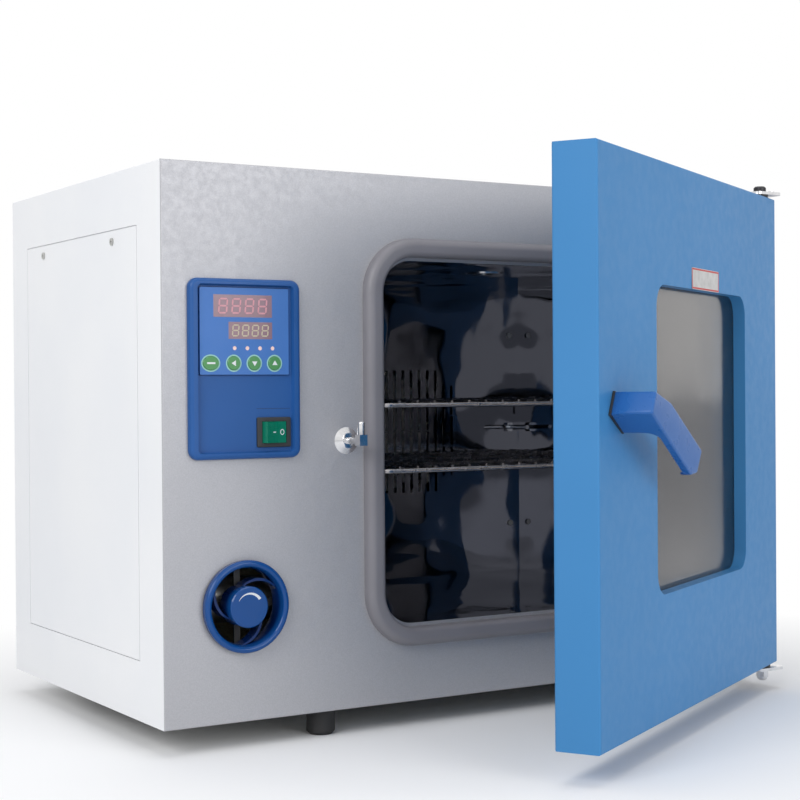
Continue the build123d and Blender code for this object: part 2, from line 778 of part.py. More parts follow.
rocker_axis = Axis((switch_x, pivot_y, switch_z), (0, 0, 1))
with BuildPart() as rocker:
    with BuildSketch(Plane.XY.offset(switch_z - rocker_h / 2)):
        with Locations((switch_x, pivot_y)):
            Circle(rocker_r)
        for side in (-1, 1):
            with Locations((switch_x + side * rocker_r / 2, pivot_y - rocker_r)):
                Rectangle(rocker_r * 1.4, rocker_r * 1.06, rotation=-side * rocker_slope, mode=Mode.SUBTRACT)
    extrude(amount=rocker_h)
    for side in (-1, 1):
        rod((switch_x, pivot_y, switch_z), (switch_x, pivot_y, switch_z + side * (rocker_h / 2 + 1.2)),
            trunnion_r)

# Vent cup: a sleeve in the front panel with a spider at its back that carries the spindle
knob_at = (left + knob_x, bottom + knob_z)
cup_wall = 1.3
with BuildPart() as vent_cup:
    with BuildSketch(facing(front)):
        with Locations(knob_at):
            Circle(cup_r + 1.5)
            Circle(cup_r - cup_wall, mode=Mode.SUBTRACT)
    extrude(amount=1)
    with BuildSketch(facing(front + cup_d)):
        with Locations(knob_at):
            Circle(cup_r)
            Circle(cup_r - cup_wall, mode=Mode.SUBTRACT)
    extrude(amount=cup_d)
    with BuildSketch(facing(front + cup_d)):
        with Locations(knob_at):
            Circle(spindle_r + 4)
            Rectangle(2 * cup_r - 1, 6)
            Rectangle(6, 2 * cup_r - 1)
            Circle(spindle_r + running, mode=Mode.SUBTRACT)
    extrude(amount=2)

# Vent knob: a rolled rim on a sleeve, a hub, and curved vanes between them
knob_axis = Axis((knob_at[0], front, knob_at[1]), (0, -1, 0))
knob_section = Plane(origin=(knob_at[0], front, knob_at[1]), x_dir=(1, 0, 0), z_dir=(0, 0, -1))
knob_clear = 0.3
sleeve_out = cup_r - cup_wall - 0.4
sleeve_in = knob_r - knob_rim_w - 1
lip_y = 1 + knob_clear


def polar(radius, angle):
    """A point at a distance and an angle in degrees round a sketch's origin."""
    return (radius * cos(radians(angle)), radius * sin(radians(angle)))


with BuildSketch() as vane:
    with BuildLine():
        hub_start, rim_start = polar(hub_r - 0.8, 0), polar(sleeve_in + 0.8, -76)
        hub_end, rim_end = polar(hub_r - 0.8, -6), polar(sleeve_in + 0.8, -80)
        ThreePointArc(hub_start, polar(hub_r + 8.5, -36), rim_start)
        Line(rim_start, rim_end)
        ThreePointArc(rim_end, polar(hub_r + 8.5 - vane_t, -40), hub_end)
        Line(hub_end, hub_start)
    make_face()

with BuildPart() as vent_knob:
    with BuildSketch(knob_section):
        with BuildLine():
            Polyline((sleeve_in, -knob_well), (sleeve_in, 3), (knob_r - knob_rim_w, 5))
            ThreePointArc((knob_r - knob_rim_w, 5), (knob_r - knob_rim_w / 2, knob_rise), (knob_r, 5))
            Polyline((knob_r, 5), (knob_r, lip_y), (sleeve_out, lip_y), (sleeve_out, -knob_well),
                     (sleeve_in, -knob_well))
        make_face()
    revolve(axis=knob_axis)
    with BuildSketch(knob_section):
        with BuildLine():
            Polyline((spindle_r, -knob_well), (spindle_r, knob_rise - 3), (0, knob_rise - 3),
                     (0, knob_rise + 2), (hub_r - 1, knob_rise + 2), (hub_r, knob_rise + 1),
                     (hub_r, -knob_well), (hub_r - 2, -knob_well), (hub_r - 2, knob_rise - 1),
                     (spindle_r + 3, knob_rise - 1), (spindle_r + 3, -knob_well), (spindle_r, -knob_well))
        make_face()
    revolve(axis=knob_axis)
    with BuildSketch(facing(front + knob_well)):
        with Locations(knob_at):
            with PolarLocations(0, vanes, start_angle=-20):
                add(vane.sketch)
    extrude(amount=knob_well + 1)

# Spindle with the flap of the fresh-air duct, turned by the knob
duct_y = front + duct_from_front
spindle_end = duct_y + duct_r + 3
flap_r = duct_r - duct_wall - 0.4
with BuildPart() as air_flap:
    rod((knob_at[0], front - knob_rise + 3, knob_at[1]), (knob_at[0], spindle_end, knob_at[1]), spindle_r)
    rod((knob_at[0] - flap_t / 2, duct_y, knob_at[1]), (knob_at[0] + flap_t / 2, duct_y, knob_at[1]), flap_r)

# Fresh-air duct from the bay to the chamber's left wall
duct_left = left + knob_x - duct_r - 12
with BuildPart() as air_duct:
    rod((duct_left, duct_y, knob_at[1]), (chamber_left - liner_t, duct_y, knob_at[1]), duct_r)
    rod((duct_left, duct_y, knob_at[1]), (chamber_left - liner_t, duct_y, knob_at[1]), duct_r - duct_wall,
        Mode.SUBTRACT)
    rod((knob_at[0], duct_y - duct_r, knob_at[1]), (knob_at[0], duct_y + duct_r, knob_at[1]),
        spindle_r + running, Mode.SUBTRACT)

# Striker: a flanged stud in the front panel with an upturned end
striker_at = (left + striker_x, bottom + striker_z)
stud_end = front - striker_out
with BuildPart() as striker:
    rod((striker_at[0], front + 8, striker_at[1]), (striker_at[0], stud_end, striker_at[1]), striker_r)
    with Locations(Plane(origin=(striker_at[0], front, striker_at[1]), z_dir=(0, -1, 0))):
        Cone(12.5, 6, 4, align=(Align.CENTER, Align.CENTER, Align.MIN))
    with BuildSketch(facing(front + sheet + 5)):
        with Locations(striker_at):
            RegularPolygon(7, 6)
    extrude(amount=5)
    slab((striker_at[0] - 4, striker_at[0] + 4), (stud_end - 2, stud_end + 7),
         (striker_at[1] - 4, striker_at[1] + 6))
    rod((striker_at[0], stud_end + 2.5, striker_at[1]),
        (striker_at[0], stud_end + 2.5, striker_at[1] + hook_h), striker_r)
    fillet(striker.edges().filter_by(GeomType.CIRCLE).group_by(Axis.Z)[-1], 1.5)

# Hinge plates on the cabinet's top and under its bottom, with their pins
plate_x = (right - plate_w, right)
plate_y = (hinge_y - pin_head_r - 4, hinge_y - pin_head_r - 4 + plate_l + pin_behind)
hinge_screw_spots = [(right - plate_w / 2, front + 14), (right - plate_w / 2, front + 34),
                     (right - 8, hinge_y - 1)]


def hinge_plate(z):
    """A flat hinge plate with rounded front corners and holes for the pin and three screws."""
    with BuildPart() as plate:
        slab(plate_x, plate_y, (z, z + plate_t))
        fillet(plate.edges().filter_by(Axis.Z).group_by(Axis.Y)[0], 6)
        rod((hinge_x, hinge_y, z), (hinge_x, hinge_y, z + plate_t), pin_r, Mode.SUBTRACT)
        for x, y in hinge_screw_spots:
            rod((x, y, z), (x, y, z + plate_t), screw_r, Mode.SUBTRACT)
    return plate


hinge_plate_top = hinge_plate(top)
hinge_plate_bottom = hinge_plate(bottom - plate_t)

pin_depth = bush_l - 2
with BuildPart() as hinge_pin_top:
    rod((hinge_x, hinge_y, door_top - pin_depth), (hinge_x, hinge_y, top + plate_t), pin_r)
    rod((hinge_x, hinge_y, top + plate_t), (hinge_x, hinge_y, top + plate_t + pin_head_h), pin_head_r)
    chamfer(hinge_pin_top.edges().filter_by(GeomType.CIRCLE).group_by(Axis.Z)[-1], 1.5)

with BuildPart() as hinge_pin_bottom:
    rod((hinge_x, hinge_y, bottom - plate_t - nut_h), (hinge_x, hinge_y, door_bottom + pin_depth), pin_r)

# Domed nut under the bottom plate
nut_z = bottom - plate_t - nut_h
with BuildPart() as domed_nut:
    with BuildSketch(Plane.XY.offset(nut_z)):
        with Locations((hinge_x, hinge_y)):
            RegularPolygon(nut_r, 6)
    extrude(amount=nut_h)
    rod((hinge_x, hinge_y, nut_z - 4), (hinge_x, hinge_y, nut_z), nut_r - 1)
    fillet(domed_nut.edges().filter_by(GeomType.CIRCLE).group_by(Axis.Z)[0], 3.6)
    rod((hinge_x, hinge_y, nut_z), (hinge_x, hinge_y, nut_z + nut_h), pin_r, Mode.SUBTRACT)

# Screws that hold the hinge plates on the casing and the base pan
with BuildPart() as hinge_screws:
    for x, y in hinge_screw_spots:
        for z, up in ((top + plate_t, 1), (bottom - plate_t, -1)):
            with Locations(Plane(origin=(x, y, z), z_dir=(0, 0, up))):
                Cylinder(screw_head_r, screw_head_h, align=(Align.CENTER, Align.CENTER, Align.MIN))
                Cylinder(screw_r, plate_t, align=(Align.CENTER, Align.CENTER, Align.MAX))

# Motor cover on the back, a pressed pan with air slots and a screwed flange
with BuildPart() as motor_cover:
    slab((chamber_x - cover_w / 2, chamber_x + cover_w / 2), (back, back + cover_d),
         (chamber_z - cover_h / 2, chamber_z + cover_h / 2))
    fillet(motor_cover.edges().filter_by(Axis.Y) + motor_cover.faces().sort_by(Axis.Y)[-1].edges(), cover_r)
    offset(amount=-skin_t, openings=motor_cover.faces().sort_by(Axis.Y)[0])
    with BuildSketch(facing(back + skin_t)):
        with Locations((chamber_x, chamber_z)):
            Rectangle(cover_w + 2 * flange, cover_h)
            Rectangle(cover_w - 2 * skin_t, cover_h - 2 * skin_t, mode=Mode.SUBTRACT)
    extrude(amount=skin_t)
    with BuildSketch(facing(back + cover_d)):
        with Locations((chamber_x, chamber_z)):
            with GridLocations(cover_slot_x, cover_slot_pitch, 2, 9):
                SlotOverall(cover_slot_l, cover_slot_w)
    extrude(amount=2 * skin_t, mode=Mode.SUBTRACT)
    for spot in cover_spots:
        screw_hole(spot, skin_t)

# Exhaust pipe from the chamber's ceiling through the top
with BuildPart() as exhaust_pipe:
    rod((*port_at, chamber_top), (*port_at, top + port_rise), port_r + port_wall)
    rod((*port_at, chamber_top - liner_t), (*port_at, chamber_top), port_r + 8)
    rod((*port_at, top), (*port_at, top + sheet), port_r + 10)
    rod((*port_at, chamber_top - liner_t), (*port_at, top + port_rise), port_r, Mode.SUBTRACT)

# Power inlet with three blades in its recess, and the fuse holder beside it
inlet_at = (left + inlet_x, bottom + inlet_z)
inlet_depth = 16
with BuildPart() as power_inlet:
    slab((inlet_at[0] - inlet_w / 2, inlet_at[0] + inlet_w / 2), (back - 20, back),
         (inlet_at[1] - inlet_h / 2, inlet_at[1] + inlet_h / 2))
    slab((inlet_at[0] - inlet_w / 2 - 10, inlet_at[0] + inlet_w / 2 + 10), (back, back + 2.5),
         (inlet_at[1] - inlet_h / 2 - 2, inlet_at[1] + inlet_h / 2 + 2))
    slab((inlet_at[0] - 12, inlet_at[0] + 12), (back + 2.5 - inlet_depth, back + 2.5),
         (inlet_at[1] - 8, inlet_at[1] + 8), Mode.SUBTRACT)
    for x, z in ((-7, -2), (0, 2), (7, -2)):
        slab((inlet_at[0] + x - 1, inlet_at[0] + x + 1), (back + 2.5 - inlet_depth, back - 3),
             (inlet_at[1] + z - 2, inlet_at[1] + z + 2))

with BuildPart() as fuse_holder:
    rod((left + fuse_x, back - 20, inlet_at[1]), (left + fuse_x, back, inlet_at[1]), fuse_r)
    rod((left + fuse_x, back, inlet_at[1]), (left + fuse_x, back + 9, inlet_at[1]), fuse_r + 2)
    chamfer(fuse_holder.edges().filter_by(GeomType.CIRCLE).group_by(Axis.Y)[-1], 1.5)

# The door, built closed. Skin: a pressed pan with a reveal round its window
window_at = (door_hinge_edge - window_u, window_top - window_h / 2)
handle_at = (door_hinge_edge - handle_u, bottom + handle_z)
with BuildPart() as door_skin:
    with BuildSketch(facing(door_back_y)):
        with Locations((door_x, door_z)):
            Rectangle(door_w, door_h)
    extrude(amount=door_t)
    fillet(door_skin.edges().filter_by(Axis.Z) + door_skin.faces().sort_by(Axis.Y)[0].edges(), door_edge_r)
    slab((door_free_edge + skin_t, door_hinge_edge - skin_t), (door_face_y + skin_t, door_back_y),
         (door_bottom + skin_t, door_top - skin_t), Mode.SUBTRACT)
    with BuildSketch(facing(door_face_y + reveal_d)):
        with Locations(window_at):
            RectangleRounded(window_w + 2 * skin_t, window_h + 2 * skin_t, window_r + skin_t)
    extrude(amount=reveal_d - skin_t)
    with BuildSketch(facing(door_face_y + reveal_d)):
        with Locations(window_at):
            RectangleRounded(window_w, window_h, window_r)
    extrude(amount=reveal_d, mode=Mode.SUBTRACT)
    for z, up in ((door_top, -1), (door_bottom, 1)):
        rod((hinge_x, hinge_y, z), (hinge_x, hinge_y, z + up * skin_t), bush_r, Mode.SUBTRACT)
    rod((handle_at[0], door_face_y, handle_at[1]), (handle_at[0], door_face_y + skin_t, handle_at[1]),
        shaft_r + running, Mode.SUBTRACT)

# Inner panel with its own shallow reveal and the slot for the striker
with BuildPart() as door_inner_panel:
    slab((door_free_edge + skin_t, door_hinge_edge - skin_t), (door_back_y - panel_t, door_back_y),
         (door_bottom + skin_t, door_top - skin_t))
    with BuildSketch(facing(door_back_y - panel_t)):
        with Locations(window_at):
            RectangleRounded(window_w + 2 * panel_t, window_h + 2 * panel_t, window_r + panel_t)
    extrude(amount=inner_reveal_d - panel_t)
    with BuildSketch(facing(door_back_y)):
        with Locations(window_at):
            RectangleRounded(window_w, window_h, window_r)
    extrude(amount=inner_reveal_d, mode=Mode.SUBTRACT)
    slab((striker_at[0] - 5.4, striker_at[0] + 8), (door_back_y - panel_t, door_back_y),
         (striker_at[1] - 8, striker_at[1] + hook_h + 4), Mode.SUBTRACT)


def pane(near_y):
    """A window pane whose rim laps behind the reveal."""
    with BuildPart() as glass:
        with BuildSketch(facing(near_y + glass_t)):
            with Locations(window_at):
                RectangleRounded(window_w + 2 * glass_lap, window_h + 2 * glass_lap, window_r)
        extrude(amount=glass_t)
    return glass


outer_pane_y = door_face_y + reveal_d
inner_pane_y = door_back_y - inner_reveal_d - glass_t
outer_glass = pane(outer_pane_y)
inner_glass = pane(inner_pane_y)

# Spacer seal between the panes
with BuildPart() as window_seal:
    with BuildSketch(facing(inner_pane_y)):
        with Locations(window_at):
            RectangleRounded(window_w + 2 * glass_lap, window_h + 2 * glass_lap, window_r)
            RectangleRounded(window_w + 2 * (glass_lap - seal_w), window_h + 2 * (glass_lap - seal_w),
                             window_r - seal_w, mode=Mode.SUBTRACT)
    extrude(amount=inner_pane_y - outer_pane_y - glass_t)

# Wool in the door, cut away round the window, the latch and the hinge bushes
latch_room = cam_l + cam_w / 2 + 2
with BuildPart() as door_insulation:
    slab((door_free_edge + skin_t, door_hinge_edge - skin_t), (door_face_y + skin_t, door_back_y - panel_t),
         (door_bottom + skin_t, door_top - skin_t))
    with BuildSketch(facing(door_back_y)):
        with Locations(window_at):
            RectangleRounded(window_w + 2 * glass_lap, window_h + 2 * glass_lap, window_r)
        with Locations(handle_at):
            Circle(latch_room)
    extrude(amount=door_t, mode=Mode.SUBTRACT)
    slab((door_free_edge, striker_at[0] + 10), (door_face_y, door_back_y),
         (striker_at[1] - 12, striker_at[1] + hook_h + 8), Mode.SUBTRACT)
    for z, up in ((door_top, -1), (door_bottom, 1)):
        slab((hinge_x - bush_r - 1, hinge_x + bush_r + 1), (hinge_y - bush_r - 1, hinge_y + bush_r + 1),
             sorted((z, z + up * (bush_l + 2))), Mode.SUBTRACT)

# Flanged bushes in the top and bottom edges of the door, where the pins run
bush_flange = door_inset_z - 0.1
with BuildPart() as hinge_bushes:
    for z, up in ((door_top, 1), (door_bottom, -1)):
        rod((hinge_x, hinge_y, z), (hinge_x, hinge_y, z + up * bush_flange), bush_r + 1.5)
        rod((hinge_x, hinge_y, z - up * bush_l), (hinge_x, hinge_y, z), bush_r)
        rod((hinge_x, hinge_y, z - up * bush_l), (hinge_x, hinge_y, z + up * bush_flange), pin_r + running,
            Mode.SUBTRACT)

# Small bare plate above the window
with BuildPart() as door_plate:
    with BuildSketch(facing(door_face_y)):
        with Locations((window_at[0] + plate_label_x, window_top + plate_label_h / 2)):
            RectangleRounded(plate_label_w, plate_label_h, 2)
    extrude(amount=plate_label_t)

# Handle: planes along the lever, through its pivot on the door's face
droop = radians(lever_droop)
along = Vector(cos(droop), 0, -sin(droop))
pivot = Vector(handle_at[0], door_face_y, handle_at[1])
lever_side = Plane(origin=pivot, x_dir=along, z_dir=Vector(-sin(droop), 0, -cos(droop)))
lever_plan = Plane(origin=pivot, x_dir=along, z_dir=(0, -1, 0))
arm_end = arm_l - neck_back
arm_under = lever_out - arm_t
base_out = seal_t + 0.3
with BuildPart() as handle_lever:
    with BuildSketch(lever_side) as lever_profile:
        with BuildLine():
            Polyline((neck_l - neck_back, 20), (neck_l - neck_back, base_out), (-neck_back, base_out),
                     (-neck_back - 6, lever_out), (arm_end + 4, lever_out), (arm_end + 4, lever_out - 12),
                     (arm_end - 12, lever_out - 12), (arm_end - 16, arm_under),
                     (neck_l - neck_back + 11, arm_under))
            TangentArc((neck_l - neck_back + 11, arm_under), (neck_l - neck_back, 20), tangent=(-1, 0))
        make_face()
    extrude(amount=60, both=True)
    with BuildSketch(lever_plan) as lever_outline:
        with BuildLine():
            Polyline((-neck_back - 2.5, -neck_low), (arm_end - 16, -neck_low - 2),
                     (arm_end - 3, -neck_low + 6), (arm_end, arm_w - neck_low),
                     (neck_l - neck_back + 4, arm_w - neck_low), (-neck_back - 2.5, neck_w - neck_low),
                     close=True)
        make_face()
        fillet(lever_outline.vertices(), 2.5)
    extrude(amount=60, mode=Mode.INTERSECT)
    fillet(handle_lever.faces().sort_by(Axis.Y)[0].outer_wire().edges(), lever_edge_r)
    with BuildSketch(lever_plan):
        with BuildLine():
            Polyline((neck_l - neck_back + 12, -neck_low + arm_wall),
                     (arm_end - 16, -neck_low - 2 + arm_wall), (arm_end - 3 - arm_wall, -neck_low + 6),
                     (arm_end - arm_wall, arm_w - neck_low - arm_wall),
                     (neck_l - neck_back + 12, arm_w - neck_low - arm_wall), close=True)
        make_face()
    extrude(amount=lever_out - arm_wall, mode=Mode.SUBTRACT)
    rod(pivot, pivot + Vector(0, -lever_out + 8, 0), shaft_r, Mode.SUBTRACT)

# Thin pad between the lever's neck and the door
with BuildPart() as handle_pad:
    with BuildSketch(lever_plan.offset(0.3)):
        with BuildLine():
            Polyline((-neck_back - 1, -neck_low - 1), (neck_l - neck_back + 1, -neck_low - 1),
                     (neck_l - neck_back + 1, arm_w - neck_low), (-neck_back - 1, neck_w - neck_low + 1),
                     close=True)
        make_face()
        Circle(shaft_r, mode=Mode.SUBTRACT)
    extrude(amount=seal_t)

# Shaft from the lever through the door to the latch cam
cam_back = door_back_y - panel_t - 4
shaft_front = door_face_y - lever_out + 8
with BuildPart() as handle_shaft:
    rod((handle_at[0], shaft_front, handle_at[1]), (handle_at[0], cam_back, handle_at[1]), shaft_r)

# Latch cam on the shaft's end: at rest it hangs down, and turned it goes in behind the striker's end
with BuildPart() as latch_cam:
    with BuildSketch(facing(cam_back)) as cam_outline:
        with Locations(handle_at):
            Circle(shaft_r + 5)
            with Locations((0, -cam_l / 2)):
                Rectangle(cam_w, cam_l)
            with Locations((0, -cam_l)):
                Circle(cam_w / 2)
            Circle(shaft_r, mode=Mode.SUBTRACT)
    extrude(amount=cam_t)

# Every piece by its name; the door and all that it carries are then turned to the rest angle
fixed_pieces = {
    "outer_casing": outer_casing, "service_cover": service_cover, "pan_screws": pan_screws,
    "front_panel": front_panel, "rear_panel": rear_panel, "base_pan": base_pan, "rubber_feet": rubber_feet,
    "chamber_insulation": chamber_insulation, "back_baffle": back_baffle, "door_gasket": door_gasket,
    "shelf_rails": shelf_rails, "shelf_upper": shelf_upper, "shelf_lower": shelf_lower,
    "fan_wheel": fan_wheel, "fan_shaft": fan_shaft, "fan_motor": fan_motor, "motor_bracket": motor_bracket,
    "heating_element": heating_element, "temperature_sensor": temperature_sensor,
    "control_bezel": control_bezel, "display_module": display_module, "display_lenses": display_lenses,
    "indicator_lamps": indicator_lamps, "control_board": control_board, "button_set": button_set,
    "button_left": button_left,
    "button_down": button_down, "button_up": button_up, "rocker_frame": rocker_frame,
    "vent_cup": vent_cup, "vent_knob": vent_knob, "air_flap": air_flap, "air_duct": air_duct,
    "striker": striker, "hinge_plate_top": hinge_plate_top, "hinge_plate_bottom": hinge_plate_bottom,
    "hinge_pin_top": hinge_pin_top, "hinge_pin_bottom": hinge_pin_bottom, "domed_nut": domed_nut,
    "hinge_screws": hinge_screws, "motor_cover": motor_cover, "exhaust_pipe": exhaust_pipe,
    "power_inlet": power_inlet, "fuse_holder": fuse_holder,
}
liner_panels = (liner_floor, liner_ceiling, liner_left, liner_right, liner_rear)
door_pieces = {
    "door_skin": door_skin, "door_inner_panel": door_inner_panel, "outer_glass": outer_glass,
    "inner_glass": inner_glass, "window_seal": window_seal, "door_insulation": door_insulation,
    "hinge_bushes": hinge_bushes, "door_plate": door_plate, "handle_lever": handle_lever,
    "handle_pad": handle_pad, "handle_shaft": handle_shaft, "latch_cam": latch_cam,
}

os.makedirs("parts", exist_ok=True)
placed = {name: piece.part for name, piece in fixed_pieces.items()}
placed["chamber_liner"] = Compound([panel.part.solid() for panel in liner_panels])
placed["rocker"] = rocker.part.rotate(rocker_axis, rocker_tilt)
for name, piece in door_pieces.items():
    placed[name] = piece.part.rotate(hinge_axis, rest_angle)
for name, part in placed.items():
    part.label = name
    export_step(part, f"parts/{name}.step")
print("front", round(front, 3), "hinge", round(hinge_x, 3), round(hinge_y, 3), "pieces", len(placed))
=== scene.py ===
import math
import bmesh
import bpy
from mathutils import Matrix, Vector


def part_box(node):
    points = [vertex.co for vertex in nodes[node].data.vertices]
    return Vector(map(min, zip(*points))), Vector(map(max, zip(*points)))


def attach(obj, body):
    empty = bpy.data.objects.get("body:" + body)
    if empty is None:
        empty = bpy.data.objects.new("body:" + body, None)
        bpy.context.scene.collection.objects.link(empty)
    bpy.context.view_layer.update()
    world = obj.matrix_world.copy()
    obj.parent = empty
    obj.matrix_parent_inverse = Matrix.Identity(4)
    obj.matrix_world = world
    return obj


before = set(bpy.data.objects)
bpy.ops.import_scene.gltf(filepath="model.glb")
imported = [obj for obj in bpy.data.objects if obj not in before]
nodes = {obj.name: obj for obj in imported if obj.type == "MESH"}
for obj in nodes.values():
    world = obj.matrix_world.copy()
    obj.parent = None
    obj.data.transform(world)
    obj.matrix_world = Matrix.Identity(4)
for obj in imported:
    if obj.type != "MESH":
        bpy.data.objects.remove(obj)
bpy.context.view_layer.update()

MM = 0.001

# Places in the row frame, in millimetres, as in part.py
LEFT, BOTTOM, TOP = -345.0, 24.0, 524.0
FRONT = -68.025
BACK = FRONT + 394
HINGE = Vector((322.0, FRONT - 42.0, 0.0))
DOOR_FACE = FRONT - 52.0
DOOR_AT_REST = math.radians(30)
ROCKER_PIVOT = Vector((-238.0, FRONT - 2.0, 283.5))
ROCKER_TILT = math.radians(10)
VENT_CENTRE = (-267.0, 128.0)
DOOR_PLATE_CENTRE = (104.0, 422.0)
MOTOR_COVER_CENTRE = (75, 271)

# How far faces that carry marks stand out from the front panel, or from the door
BEZEL_OUT = 3.0
FACE_OUT = 5.0
KEY_OUT = 6.0
HUB_OUT = 11.0
PLATE_OUT = 0.8

# How far a mark stands on its face and reaches down into it
PRINT = 0.06
ROOT = 0.05

# Meshes: corners closer than this are one, and edges sharper than these angles stay sharp
WELD_DISTANCE = 0.00001
SHARP_CAD_EDGE = math.radians(32)
SHARP_MARK_EDGE = math.radians(40)


# Materials
def new_material(name, colour, rough, metal=0.0, coat=0.0, spec=0.5):
    """A plain material from its colour, roughness, metal, coat and specular level."""
    m = bpy.data.materials.new(name)
    m.use_nodes = True
    b = m.node_tree.nodes["Principled BSDF"]
    b.inputs["Base Color"].default_value = (*colour, 1)
    b.inputs["Roughness"].default_value = rough
    b.inputs["Metallic"].default_value = metal
    b.inputs["Coat Weight"].default_value = coat
    b.inputs["Coat Roughness"].default_value = 0.05
    b.inputs["Specular IOR Level"].default_value = spec
    return m


def node(m, kind, **values):
    n = m.node_tree.nodes.new(kind)
    for setting, value in values.items():
        setattr(n, setting, value)
    return n


def wire(m, a, b):
    m.node_tree.links.new(a, b)


def noise(m, scale, detail=3.0, rough=0.5, stretch=None):
    """A noise in object coordinates, its scale in cells per metre, stretched along an axis if asked."""
    coords = node(m, "ShaderNodeTexCoord")
    source = coords.outputs["Object"]
    if stretch:
        mapping = node(m, "ShaderNodeMapping")
        mapping.inputs["Scale"].default_value = stretch
        wire(m, source, mapping.inputs["Vector"])
        source = mapping.outputs["Vector"]
    n = node(m, "ShaderNodeTexNoise")
    n.inputs["Scale"].default_value = scale
    n.inputs["Detail"].default_value = detail
    n.inputs["Roughness"].default_value = rough
    wire(m, source, n.inputs["Vector"])
    return n.outputs["Fac"]


def bump(m, *layers):
    """Bump from (height output, distance in metres, strength), stacked."""
    shader = m.node_tree.nodes["Principled BSDF"]
    last = None
    for height, distance, strength in layers:
        b = node(m, "ShaderNodeBump")
        b.inputs["Distance"].default_value = distance
        b.inputs["Strength"].default_value = strength
        wire(m, height, b.inputs["Height"])
        if last:
            wire(m, last, b.inputs["Normal"])
        last = b.outputs["Normal"]
    wire(m, last, shader.inputs["Normal"])


def vary(m, fac, low, high, socket="Base Color", start=0.35, end=0.65):
    """Blend a socket between two colours, or two numbers, as fac goes from start to end."""
    shader = m.node_tree.nodes["Principled BSDF"]
    if socket == "Base Color":
        ramp = node(m, "ShaderNodeValToRGB")
        ramp.color_ramp.elements[0].position = start
        ramp.color_ramp.elements[1].position = end
        ramp.color_ramp.elements[0].color = (*low, 1)
        ramp.color_ramp.elements[1].color = (*high, 1)
        wire(m, fac, ramp.inputs["Fac"])
        wire(m, ramp.outputs["Color"], shader.inputs[socket])
    else:
        scale = node(m, "ShaderNodeMapRange")
        scale.inputs["From Min"].default_value = start
        scale.inputs["From Max"].default_value = end
        scale.inputs["To Min"].default_value = low
        scale.inputs["To Max"].default_value = high
        wire(m, fac, scale.inputs["Value"])
        wire(m, scale.outputs["Result"], shader.inputs[socket])


def white_paint():
    """Powder coat: a fine orange peel over a paint that is even, but for faint shades."""
    m = new_material("white_powder_coat", (0.80, 0.81, 0.82), 0.42, spec=0.4)
    vary(m, noise(m, 6, 2), (0.79, 0.80, 0.815), (0.82, 0.825, 0.83))
    vary(m, noise(m, 40, 3), 0.38, 0.48, "Roughness")
    bump(m, (noise(m, 700, 2), 0.0002, 0.3), (noise(m, 220, 2), 0.0003, 0.12))
    return m


def silver_paint():
    """Silver-grey hammered paint with fine metal grains."""
    m = new_material("silver_hammer_paint", (0.40, 0.40, 0.42), 0.42, metal=0.35, spec=0.45)
    vary(m, noise(m, 900, 2, 0.6), (0.385, 0.385, 0.405), (0.445, 0.445, 0.465), start=0.3, end=0.7)
    vary(m, noise(m, 180, 3), 0.40, 0.50, "Roughness")
    bump(m, (noise(m, 620, 2, 0.5), 0.0002, 0.30), (noise(m, 60, 2), 0.0006, 0.08))
    return m


def blue_paint():
    """The door's satin blue powder coat."""
    m = new_material("blue_powder_coat", (0.045, 0.21, 0.46), 0.45, spec=0.3)
    vary(m, noise(m, 5, 2), (0.043, 0.205, 0.45), (0.047, 0.215, 0.47))
    vary(m, noise(m, 90, 3), 0.42, 0.50, "Roughness")
    bump(m, (noise(m, 420, 2), 0.0002, 0.12), (noise(m, 60, 1), 0.0006, 0.05))
    return m


def polished_steel(name, tint, rough, wave):
    """Mirror steel: long soft waves from rolling, small ones near them, and a trace of brush lines."""
    m = new_material(name, tint, rough, metal=1.0)
    vary(m, noise(m, 30, 3), rough, rough + 0.03, "Roughness")
    bump(m, (noise(m, 6, 1, 0.3), 0.03, wave), (noise(m, 17, 1, 0.3), 0.005, wave * 0.5),
         (noise(m, 900, 2, stretch=(1, 1, 0.05)), 0.0001, 0.03))
    return m


def plated(name, tint, rough, metal=1.0, scale=120):
    """Plated or bare metal, a little uneven in shade and gloss, scale in cells per metre."""
    m = new_material(name, tint, rough, metal=metal)
    fac = noise(m, scale, 4)
    vary(m, fac, tuple(c * 0.85 for c in tint), tint)
    vary(m, noise(m, scale * 0.6, 3), rough, rough + 0.15, "Roughness")
    bump(m, (fac, 0.0002, 0.15))
    return m


def plastic(name, tint, rough, coat=0.0, grain=500, depth=0.00012, strength=0.25, spec=0.5):
    """Moulded plastic or rubber with a fine grain of a given depth in metres."""
    m = new_material(name, tint, rough, coat=coat, spec=spec)
    vary(m, noise(m, 14, 2), tuple(c * 0.93 for c in tint), tint)
    vary(m, noise(m, 60, 3), rough, rough + 0.08, "Roughness")
    bump(m, (noise(m, grain, 2), depth, strength))
    return m


def knob_plastic():
    """Glossy blue, with painted shade that makes it darker down in the well."""
    rim_blue, well_shade_blue = (0.005, 0.060, 0.23), (0.002, 0.018, 0.10)
    m = new_material("knob_blue", rim_blue, 0.20, coat=0.05, spec=0.3)
    place = node(m, "ShaderNodeTexCoord")
    parts = node(m, "ShaderNodeSeparateXYZ")
    wire(m, place.outputs["Object"], parts.inputs["Vector"])
    # Painted shade: the depth into the well sets how far the blue darkens
    depth = node(m, "ShaderNodeMapRange")
    depth.inputs["From Min"].default_value = (FRONT - 6.5) * MM
    depth.inputs["From Max"].default_value = (FRONT + 1.0) * MM
    wire(m, parts.outputs["Y"], depth.inputs["Value"])
    vary(m, depth.outputs["Result"], rim_blue, well_shade_blue, start=0.05, end=0.9)
    vary(m, noise(m, 60, 3), 0.12, 0.20, "Roughness")
    bump(m, (noise(m, 500, 2), 0.0001, 0.15))
    return m


